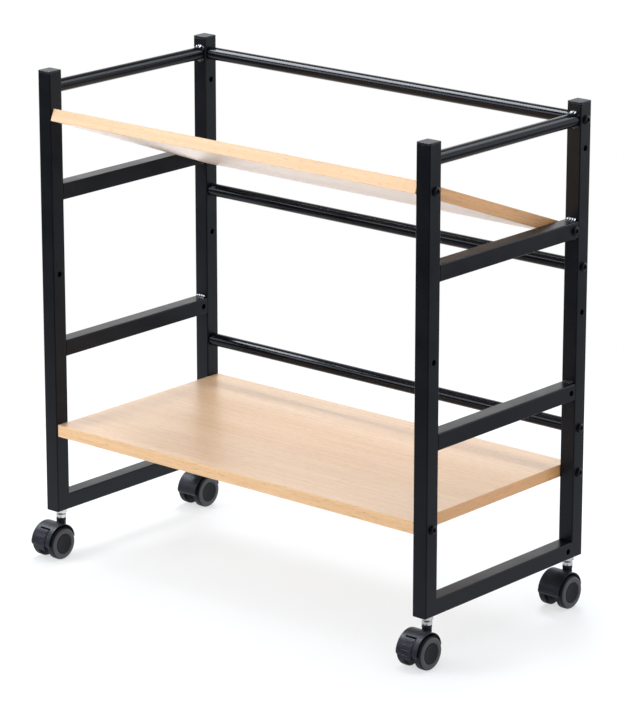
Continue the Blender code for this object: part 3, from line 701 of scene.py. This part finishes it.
# Caster hoods: one moulding of black plastic each. A curved fender covers both wheels, a web between them
# carries the axle, and a round neck holds the stem. The front two have a notch for the brake lever.
AXLE = Vector((0, -0.014, 0.020))
HOOD_RADIUS = 0.024
HOOD_WALL = 0.0024
HOOD_WIDTH = 0.0305
HOOD_EDGE = 0.0006
HOOD_RIM = 0.0012
HOOD_RIM_DEPTH = 0.004
HOOD_TAPER = 0.0016
HOOD_TAPER_FRONT = math.radians(10)
HOOD_TAPER_REAR = math.radians(60)
HOOD_FRONT = math.radians(-3)
HOOD_REAR = math.radians(168)
WEB_FRONT = math.radians(66)
WEB_THICKNESS = 0.008
WEB_INNER = 0.004
WEB_STEPS = 24
BOSS_RADIUS = 0.007
BOSS_SIDES = 40
NECK_RADIUS = 0.006
NECK_EDGE = 0.0005
NECK_LIP = 0.0028
NECK_STEP = 0.0003
NECK_FOOT = 0.006
NECK_SINK = 0.9
FLUTES = 8
FLUTE_STEPS = 10
FLUTE_DEPTH = 0.0007
NECK_TOP = 0.0472
NOTCH_WIDTH = 0.0161
NOTCH_TOP = math.radians(58)
HOOD_STEPS = 56
HOOD_EASE = 0.00035
NECK_EASE = 0.0002


def at_angle(radius, angle, x=0.0):
    """A point at a radius from the axle, with the angle counted up from the front."""
    return AXLE + Vector((x, -radius * math.cos(angle), radius * math.sin(angle)))


def swept(bm, points, start, end, steps, closed=False):
    """Sweeps a line of (x, radius) points round the axle from one angle to another."""
    line = [bm.verts.new(at_angle(radius, start, x)) for x, radius in points]
    pairs = list(zip(line, line[1:])) + ([(line[-1], line[0])] if closed else [])
    geom = line + [bm.edges.new(pair) for pair in pairs]
    bmesh.ops.spin(bm, geom=geom, axis=(-1, 0, 0), cent=AXLE, angle=end - start, steps=steps)


def fender(with_notch):
    """A curved cover whose wall thins out towards its two rims, and from outside towards its two ends."""
    bm = bmesh.new()
    half, notch = HOOD_WIDTH / 2, NOTCH_WIDTH / 2
    thinned = half - HOOD_RIM_DEPTH
    lines = (-half, -thinned, -notch, notch, thinned, half)
    swept(bm, [(x, HOOD_RADIUS) for x in lines], HOOD_FRONT, HOOD_REAR, HOOD_STEPS)
    if with_notch:
        cut = []
        for face in bm.faces:
            middle = face.calc_center_median()
            angle = math.atan2(middle.z - AXLE.z, AXLE.y - middle.y)
            if abs(middle.x) < notch and angle < NOTCH_TOP:
                cut.append(face)
        bmesh.ops.delete(bm, geom=cut, context="FACES")
    bm.normal_update()
    inward = [f for f in bm.faces if f.normal.dot(f.calc_center_median() - AXLE) < 0]
    bmesh.ops.reverse_faces(bm, faces=inward)
    bmesh.ops.solidify(bm, geom=bm.faces[:], thickness=HOOD_WALL)
    outer = {v for v in bm.verts if (v.co - AXLE).yz.length > HOOD_RADIUS - HOOD_WALL / 2}
    rims = {v for v in outer if abs(v.co.x) > half - 1e-5}
    shoulder = [e for e in bm.edges if rims.issuperset(e.verts)]
    for vert in bm.verts:
        spoke = (vert.co - AXLE).yz
        angle = math.atan2(spoke.y, -spoke.x)
        front = max(0.0, 1 - (angle - HOOD_FRONT) / HOOD_TAPER_FRONT)
        rear = max(0.0, 1 - (HOOD_REAR - angle) / HOOD_TAPER_REAR)
        radius = HOOD_RADIUS - HOOD_TAPER * max(front, rear) ** 2
        if vert not in outer:
            radius = radius - HOOD_RIM / 2 if abs(vert.co.x) > half - 1e-5 else HOOD_RADIUS - HOOD_WALL
        vert.co.yz = AXLE.yz + spoke.normalized() * radius
    bmesh.ops.bevel(bm, geom=shoulder, offset=HOOD_EDGE, segments=4, profile=0.5, affect="EDGES", material=-1)
    return bm


def web_and_boss():
    """The wall between the wheels, up to the fender, and the round boss that holds the axle."""
    bm = bmesh.new()
    reaches = (WEB_INNER, HOOD_RADIUS - HOOD_WALL / 2)
    line = [bm.verts.new(at_angle(reach, WEB_FRONT, WEB_THICKNESS / 2)) for reach in reaches]
    geom = line + [bm.edges.new(line)]
    bmesh.ops.spin(bm, geom=geom, axis=(-1, 0, 0), cent=AXLE, angle=HOOD_REAR - WEB_FRONT, steps=WEB_STEPS)
    bm.normal_update()
    bmesh.ops.reverse_faces(bm, faces=[f for f in bm.faces if f.normal.x < 0])
    bmesh.ops.solidify(bm, geom=bm.faces[:], thickness=WEB_THICKNESS)
    place = Matrix.Translation(AXLE) @ Matrix.Rotation(math.pi / 2, 4, "Y")
    bmesh.ops.create_cone(
        bm,
        cap_ends=True,
        segments=BOSS_SIDES,
        radius1=BOSS_RADIUS,
        radius2=BOSS_RADIUS,
        depth=WEB_THICKNESS,
        matrix=place,
    )
    return bm


def neck():
    """The socket for the stem, fluted below its lip, with its foot cut to lie on the fender."""
    foot = AXLE.z + NECK_FOOT
    shank = NECK_RADIUS - NECK_STEP
    profile = [(0.0, NECK_TOP), (NECK_RADIUS - NECK_EDGE, NECK_TOP), (NECK_RADIUS, NECK_TOP - NECK_EDGE)]
    profile += [(NECK_RADIUS, NECK_TOP - NECK_LIP), (shank, NECK_TOP - NECK_LIP - NECK_STEP)]
    profile += [(shank, foot), (0.0, foot)]
    bm = turned(profile, FLUTE_STEPS * FLUTES)
    for vert in bm.verts:
        reach = vert.co.xy.length
        if reach > NECK_RADIUS / 2 and vert.co.z < NECK_TOP - NECK_LIP - NECK_STEP / 2:
            hollow = max(0.0, -math.cos(FLUTES * math.atan2(vert.co.y, vert.co.x)))
            vert.co.xy *= 1 - FLUTE_DEPTH / reach * hollow
    slope = Vector((0, -AXLE.y, math.sqrt(HOOD_RADIUS**2 - AXLE.y**2))).normalized()
    geom = bm.verts[:] + bm.edges[:] + bm.faces[:]
    point = AXLE + slope * (HOOD_RADIUS - NECK_SINK * HOOD_WALL)
    cut = bmesh.ops.bisect_plane(bm, geom=geom, plane_co=point, plane_no=slope, clear_inner=True)
    bmesh.ops.edgeloop_fill(bm, edges=[e for e in cut["geom_cut"] if isinstance(e, bmesh.types.BMEdge)])
    return bm


for side in SIDES:
    for end in ENDS:
        caster = f"{side}_{end}_caster"
        spot = stem_spot(side, end)
        hood = fender(end == "front")
        add_shape(hood, web_and_boss())
        bmesh.ops.translate(hood, verts=hood.verts, vec=spot)
        node = f"{caster}_hood"
        as_piece(f"{caster}_fender", hood, [moulded_black], caster, [node], HOOD_EASE)
        socket = neck()
        bmesh.ops.translate(socket, verts=socket.verts, vec=spot)
        as_piece(f"{caster}_neck", socket, [moulded_black], caster, [], NECK_EASE)


# Caster axles and wheels: a steel pin pressed through the web, with a moulded wheel on either end. The
# wheel's side is dark grey and its sunk hub disc black. The tread is painted black all round for the shade
# under the hood, and the inner side with its brake ring is painted black for the shade between the wheels.
WHEEL_RADIUS = 0.020
WHEEL_FACE = 0.0185
WHEEL_INNER = 0.0046
TREAD_INNER = 0.0083
RING_RADIUS = 0.0165
HUB_RADIUS = 0.0125
HUB_PROFILE = (  # radii of the sunk disc and its groove, and how far each lies below the wheel's face
    (0.0, 0.0011),
    (0.006, 0.0010),
    (0.0109, 0.0006),
    (0.0117, 0.0006),
    (0.0121, 0.0011),
    (0.0126, 0.0010),
    (0.0130, 0.0002),
    (0.0136, 0.0),
)
BORE_RADIUS = 0.004
BORE_DEPTH = 0.0002
RING_EDGE = 0.0003
WHEEL_SIDES = 72
SHOULDER_STEPS = 10
SHOULDER = 0.0045
SHOULDER_DROP = 0.0035
TREAD_SHADE_BAND = 0.0013
TREAD_INNER_EDGE = 0.0008
TYRE_DARK = (0.046, 0.048, 0.053, 1.0)
TYRE_GREY = (0.062, 0.064, 0.070, 1.0)
# Painted shade: the tread's near-black colours stand for the shade under the hood, all round the wheel.
TREAD_SHADE_BLACK = (0.0100, 0.0105, 0.0125, 1.0)
TREAD_SHADE_GREY = (0.0160, 0.0165, 0.0190, 1.0)
# The sunk hub disc is black of its own; the same colours on the wheel's inner side are painted shade.
HUB_AND_SHADE_BLACK = (0.0060, 0.0063, 0.0075, 1.0)
HUB_AND_SHADE_GREY = (0.0095, 0.0099, 0.0115, 1.0)
HUB_SHINE = 0.16
HUB_AND_SHADE_FINISH, TREAD_SHADE_FINISH = 1, 2  # places in a wheel's finishes, after its side
tyre_grey = pebbled_finish(
    "dark_grey_tyre",
    TYRE_DARK,
    TYRE_GREY,
    gloss=(0.46, 0.58),
    pebbles=1700.0,
    patches=90.0,
    depth=0.0001,
)
tread_painted_shade = pebbled_finish(
    "painted_shade_tread",
    TREAD_SHADE_BLACK,
    TREAD_SHADE_GREY,
    gloss=(0.46, 0.58),
    pebbles=1700.0,
    patches=90.0,
    depth=0.0001,
    shine=HUB_SHINE,
)
hub_disc_and_painted_shade = pebbled_finish(
    "black_hub_disc_and_painted_shade",
    HUB_AND_SHADE_BLACK,
    HUB_AND_SHADE_GREY,
    gloss=(0.42, 0.52),
    pebbles=2400.0,
    patches=90.0,
    depth=0.0001,
    shine=HUB_SHINE,
)


def caster_wheel():
    """A wheel along Z from the axle's middle: hub disc and rounded shoulder above, brake ring below."""
    profile = [(reach, WHEEL_FACE - sunk) for reach, sunk in HUB_PROFILE]
    for step in range(SHOULDER_STEPS + 1):
        bend = step / SHOULDER_STEPS * math.pi / 2
        reach = WHEEL_RADIUS - SHOULDER * (1 - math.sin(bend))
        profile.append((reach, WHEEL_FACE - SHOULDER_DROP * (1 - math.cos(bend))))
    profile += [(WHEEL_RADIUS, TREAD_INNER + TREAD_INNER_EDGE)]
    profile += [(WHEEL_RADIUS - TREAD_INNER_EDGE, TREAD_INNER), (RING_RADIUS, TREAD_INNER)]
    profile += [(RING_RADIUS, WHEEL_INNER + RING_EDGE), (RING_RADIUS - RING_EDGE, WHEEL_INNER)]
    profile += [(BORE_RADIUS, WHEEL_INNER), (BORE_RADIUS, WHEEL_INNER + BORE_DEPTH)]
    profile += [(0.0, WHEEL_INNER + BORE_DEPTH)]
    bm = turned(profile, WHEEL_SIDES)
    for face in bm.faces:
        middle = face.calc_center_median()
        reach = math.hypot(middle.x, middle.y)
        # Painted shade: the inner side and the tread take the black finishes; only the hub disc is black of
        # itself.
        if reach < HUB_RADIUS or middle.z < TREAD_INNER + 1e-5:
            face.material_index = HUB_AND_SHADE_FINISH
        elif reach > WHEEL_RADIUS - TREAD_SHADE_BAND:
            face.material_index = TREAD_SHADE_FINISH
    return bm


for side in SIDES:
    for end in ENDS:
        caster = f"{side}_{end}_caster"
        axle_low, axle_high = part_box(f"{caster}_axle")
        centre = (axle_low + axle_high) / 2
        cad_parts[f"{caster}_axle"].material_slots[0].material = zinc
        for hand, sign in SIDES.items():
            wheel = caster_wheel()
            turn = Matrix.Rotation(sign * math.pi / 2, 4, "Y")
            bmesh.ops.transform(wheel, matrix=Matrix.Translation(centre) @ turn, verts=wheel.verts)
            body = f"{caster}_{hand}_wheel"
            as_piece(f"{body}_tyre", wheel, [tyre_grey, hub_disc_and_painted_shade, tread_painted_shade], body, [body])


# Brake levers of the two front casters: a curved tab of the hood's plastic that fills the notch and turns
# on two stub pins at its top. Plain ribs across it give the toe a grip.
LEVER_WIDTH = 0.0155
LEVER_INNER = 0.0219
LEVER_OUTER = 0.0247
LEVER_FOOT = math.radians(-12)
LEVER_TOP = math.radians(52)
LEVER_STEPS = 32
LEVER_EASE = 0.0003
RIB_HEIGHT = 0.0005
RIB_ROOT = 0.0004
RIB_INSET = 0.0016
RIB_FLANK = 0.1
RIB_STEPS = 4
RIBS = 4

for side in SIDES:
    lever = bmesh.new()
    half = LEVER_WIDTH / 2
    tab = [(-half, LEVER_INNER), (-half, LEVER_OUTER), (half, LEVER_OUTER), (half, LEVER_INNER)]
    swept(lever, tab, LEVER_FOOT, LEVER_TOP, LEVER_STEPS, closed=True)
    bmesh.ops.holes_fill(lever, edges=lever.edges[:])
    band = (LEVER_TOP - LEVER_FOOT) / (2 * RIBS + 1)
    for rib in range(RIBS):
        start = LEVER_FOOT + (2 * rib + 1) * band
        root, crest, tip = LEVER_OUTER - RIB_ROOT, LEVER_OUTER + RIB_HEIGHT, half - RIB_INSET
        bar = [(-tip, root), (-tip, crest), (tip, crest), (tip, root)]
        swept(lever, bar, start + RIB_FLANK * band, start + (1 - RIB_FLANK) * band, RIB_STEPS, closed=True)
    bmesh.ops.holes_fill(lever, edges=lever.edges[:])
    bmesh.ops.recalc_face_normals(lever, faces=lever.faces)
    bmesh.ops.translate(lever, verts=lever.verts, vec=stem_spot(side, "front"))
    body = f"{side}_brake_lever"
    as_piece(f"{body}_tab", lever, [moulded_black], body, [body], LEVER_EASE)


# Studio: a pale floor that stays white to the eye, keeps a faint shadow and can be seen through from below.
# A white room and soft lamps from the front left, overhead and behind light the cart. Two more lamps show
# only as sheen on its black coat, and are kept off the boards.
FLOOR_RADIUS = 3.2
FLOOR_DROP = 0.0002
LAMP_TARGET = Vector((0, 0, 0.30))
floor_mesh = bmesh.new()
place = Matrix.Translation((0, 0, -FLOOR_DROP))
bmesh.ops.create_circle(floor_mesh, cap_ends=True, segments=96, radius=FLOOR_RADIUS, matrix=place)
floor_data = bpy.data.meshes.new("studio_floor")
floor_mesh.to_mesh(floor_data)
floor_mesh.free()
studio_floor = bpy.data.objects.new("studio_floor", floor_data)
bpy.context.scene.collection.objects.link(studio_floor)


def add_ramp(tree, places, values):
    """A node that goes from one value to another between two places."""
    return add_node(
        tree,
        "ShaderNodeMapRange",
        in_From_Min=places[0],
        in_From_Max=places[1],
        in_To_Min=values[0],
        in_To_Max=values[1],
    )


floor_paint = bpy.data.materials.new("pale_floor")
floor_paint.use_nodes = True
tree = floor_paint.node_tree
tree.nodes.clear()
path = add_node(tree, "ShaderNodeLightPath")
seen = add_node(tree, "ShaderNodeMath", operation="MAXIMUM")
where = add_node(tree, "ShaderNodeTexCoord")
reach = add_node(tree, "ShaderNodeVectorMath", operation="LENGTH")
fade = add_ramp(tree, (0.55, 1.15), (0.0, 1.0))
fade.interpolation_type = "SMOOTHSTEP"
split = add_node(tree, "ShaderNodeSeparateXYZ")
front = add_ramp(tree, (-1.05, -0.20), (0.0, 1.45))
right = add_ramp(tree, (-0.90, 1.20), (1.0, 0.20))
dim = add_node(tree, "ShaderNodeMath", operation="MULTIPLY")
lit = add_node(tree, "ShaderNodeBsdfDiffuse", in_Color=(0.80, 0.80, 0.80, 1.0))
shade = add_node(tree, "ShaderNodeBsdfDiffuse", in_Color=(0.365, 0.39, 0.41, 1.0))
glow = add_node(tree, "ShaderNodeEmission", in_Color=(1.0, 1.0, 1.0, 1.0), in_Strength=0.60)
plain = add_node(tree, "ShaderNodeEmission", in_Color=(1.0, 1.0, 1.0, 1.0), in_Strength=1.0)
mirrored = add_node(tree, "ShaderNodeEmission", in_Color=(1.0, 1.0, 1.0, 1.0))
near = add_node(tree, "ShaderNodeAddShader")
white = add_node(tree, "ShaderNodeMixShader")
in_gloss = add_node(tree, "ShaderNodeMixShader")
pick = add_node(tree, "ShaderNodeMixShader")
facing = add_node(tree, "ShaderNodeNewGeometry")
clear = add_node(tree, "ShaderNodeBsdfTransparent")
one_way = add_node(tree, "ShaderNodeMixShader")
out = add_node(tree, "ShaderNodeOutputMaterial")
tree.links.new(path.outputs["Is Camera Ray"], seen.inputs[0])
tree.links.new(path.outputs["Is Transmission Ray"], seen.inputs[1])
tree.links.new(where.outputs["Object"], reach.inputs[0])
tree.links.new(reach.outputs["Value"], fade.inputs["Value"])
tree.links.new(where.outputs["Object"], split.inputs[0])
tree.links.new(split.outputs["Y"], front.inputs["Value"])
tree.links.new(split.outputs["X"], right.inputs["Value"])
tree.links.new(front.outputs["Result"], dim.inputs[0])
tree.links.new(right.outputs["Result"], dim.inputs[1])
tree.links.new(dim.outputs[0], mirrored.inputs["Strength"])
tree.links.new(shade.outputs[0], near.inputs[0])
tree.links.new(glow.outputs[0], near.inputs[1])
tree.links.new(fade.outputs["Result"], white.inputs["Fac"])
tree.links.new(near.outputs[0], white.inputs[1])
tree.links.new(plain.outputs[0], white.inputs[2])
tree.links.new(path.outputs["Is Glossy Ray"], in_gloss.inputs["Fac"])
tree.links.new(lit.outputs[0], in_gloss.inputs[1])
tree.links.new(mirrored.outputs[0], in_gloss.inputs[2])
tree.links.new(seen.outputs[0], pick.inputs["Fac"])
tree.links.new(in_gloss.outputs[0], pick.inputs[1])
tree.links.new(white.outputs[0], pick.inputs[2])
tree.links.new(facing.outputs["Backfacing"], one_way.inputs["Fac"])
tree.links.new(pick.outputs[0], one_way.inputs[1])
tree.links.new(clear.outputs[0], one_way.inputs[2])
tree.links.new(one_way.outputs[0], out.inputs["Surface"])
floor_data.materials.append(floor_paint)

room = bpy.data.worlds.new("white_room")
room.use_nodes = True
bpy.context.scene.world = room
tree = room.node_tree
tree.nodes.clear()
path = add_node(tree, "ShaderNodeLightPath")
seen = add_node(tree, "ShaderNodeMath", operation="MAXIMUM")
ways = add_node(tree, "ShaderNodeTexCoord")
split = add_node(tree, "ShaderNodeSeparateXYZ")
front = add_ramp(tree, (-0.75, 0.35), (0.04, 1.60))
across = add_ramp(tree, (-1.0, 1.0), (1.40, 0.60))
upward = add_ramp(tree, (0.32, 0.62), (1.0, 0.20))
dim = add_node(tree, "ShaderNodeMath", operation="MULTIPLY")
fill = add_node(tree, "ShaderNodeBackground", in_Color=(1.0, 1.0, 1.0, 1.0))
walls = add_node(tree, "ShaderNodeBackground", in_Color=(1.0, 1.0, 1.0, 1.0))
backdrop = add_node(tree, "ShaderNodeBackground", in_Color=(1.0, 1.0, 1.0, 1.0), in_Strength=1.0)
in_gloss = add_node(tree, "ShaderNodeMixShader")
pick = add_node(tree, "ShaderNodeMixShader")
out = add_node(tree, "ShaderNodeOutputWorld")
tree.links.new(path.outputs["Is Camera Ray"], seen.inputs[0])
tree.links.new(path.outputs["Is Transmission Ray"], seen.inputs[1])
tree.links.new(ways.outputs["Generated"], split.inputs[0])
tree.links.new(split.outputs["Y"], front.inputs["Value"])
tree.links.new(split.outputs["X"], across.inputs["Value"])
tree.links.new(split.outputs["Z"], upward.inputs["Value"])
tree.links.new(front.outputs["Result"], dim.inputs[0])
tree.links.new(upward.outputs["Result"], dim.inputs[1])
tree.links.new(dim.outputs[0], walls.inputs["Strength"])
tree.links.new(across.outputs["Result"], fill.inputs["Strength"])
tree.links.new(path.outputs["Is Glossy Ray"], in_gloss.inputs["Fac"])
tree.links.new(fill.outputs[0], in_gloss.inputs[1])
tree.links.new(walls.outputs[0], in_gloss.inputs[2])
tree.links.new(seen.outputs[0], pick.inputs["Fac"])
tree.links.new(in_gloss.outputs[0], pick.inputs[1])
tree.links.new(backdrop.outputs[0], pick.inputs[2])
tree.links.new(pick.outputs[0], out.inputs["Surface"])


def soft_lamp(name, place, size, power, lights=True, mirrored=True):
    """A square lamp that faces the cart, and lights it, shows in its shiny surfaces, or both."""
    lamp = bpy.data.lights.new(name, "AREA")
    lamp.shape = "SQUARE"
    lamp.size = size
    lamp.energy = power
    obj = bpy.data.objects.new(name, lamp)
    obj.location = place
    obj.rotation_euler = (LAMP_TARGET - Vector(place)).to_track_quat("-Z", "Y").to_euler()
    obj.visible_camera = False
    obj.visible_diffuse = lights
    obj.visible_glossy = mirrored
    bpy.context.scene.collection.objects.link(obj)
    return obj


soft_lamp("front_left_lamp", (-1.7, -1.9, 1.3), size=0.9, power=17.0)
soft_lamp("overhead_lamp", (0.0, -0.1, 2.4), size=0.6, power=11.0)
soft_lamp("rear_lamp", (-1.0, 1.5, 2.4), size=0.8, power=32.0, mirrored=False)
left_sheen = soft_lamp("left_sheen_lamp", (-1.36, -0.28, 2.2), size=1.1, power=95.0, lights=False)
rear_sheen = soft_lamp("rear_sheen_lamp", (0.87, 1.81, 2.05), size=1.0, power=14.0, lights=False)
boards_left_out = bpy.data.collections.new("boards_left_out")
for shelf in ("lower_shelf", "tilted_shelf"):
    boards_left_out.objects.link(bpy.data.objects[f"{shelf}_board"])
for entry in boards_left_out.collection_objects:
    entry.light_linking.link_state = "EXCLUDE"
for lamp in (left_sheen, rear_sheen):
    lamp.light_linking.receiver_collection = boards_left_out


# Camera: a long lens in front and to the right, a little above the cart, as the photograph was taken. Its
# place, turn and focal length were fitted to about sixty points of the photograph, with no shift.
PHOTO_HEIGHT = 711
FOCAL_PIXELS = 3688.0
CAMERA_PLACE = (2.7527, -3.19515, 1.5199)
CAMERA_DIP = math.radians(16.338)
CAMERA_TURN = math.radians(40.653)
lens = bpy.data.cameras.new("photo_lens")
lens.sensor_width = 36.0
lens.lens = FOCAL_PIXELS / PHOTO_HEIGHT * lens.sensor_width
lens.clip_end = 50.0
camera = bpy.data.objects.new("photo_camera", lens)
camera.location = CAMERA_PLACE
camera.rotation_euler = (math.pi / 2 - CAMERA_DIP, 0, CAMERA_TURN)
bpy.context.scene.collection.objects.link(camera)
bpy.context.scene.camera = camera
bpy.context.scene.view_settings.view_transform = "Standard"
